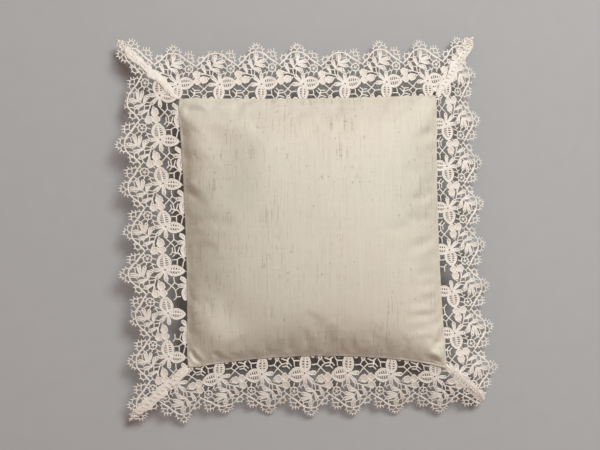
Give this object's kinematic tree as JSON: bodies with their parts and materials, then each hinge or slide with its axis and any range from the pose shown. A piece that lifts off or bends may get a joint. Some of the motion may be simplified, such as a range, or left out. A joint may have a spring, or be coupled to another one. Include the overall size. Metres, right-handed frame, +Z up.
{
  "type": "ring bearer pillow",
  "caption": "Soft square cushion with a crowned silk face and wide scalloped lace edging, for carrying wedding rings.",
  "frame": {"origin": "under the middle of the whole outline, lace included, on the surface the pillow rests on", "axes": "+Z up, out of the pillow's front; +X across its width; +Y along its slightly longer depth, away from the hand-closed side"},
  "size_m": [0.3358, 0.3326, 0.0659],
  "materials": {
    "silk": "ivory silk dupioni, slubbed, soft sheen",
    "lace": "ivory guipure lace, raised cords, matt to soft sheen",
    "thread": "ivory sewing thread, two-ply twist",
    "fibre": "white polyester fibre, loose"
  },
  "bodies": {
    "root": {"front_panel": "silk", "back_panel": "silk", "filling": "fibre", "lace_bottom": "lace", "mitre_fold_bottom_right": "lace", "mitre_thread_bottom_right": "thread", "lace_right": "lace", "mitre_fold_right_top": "lace", "mitre_thread_right_top": "thread", "lace_top": "lace", "mitre_fold_top_left": "lace", "mitre_thread_top_left": "thread", "lace_left": "lace", "mitre_fold_left_bottom": "lace", "mitre_thread_left_bottom": "thread", "seam_needle_thread": "thread", "seam_bobbin_thread": "thread", "closing_thread": "thread"}
  },
  "joints": []
}
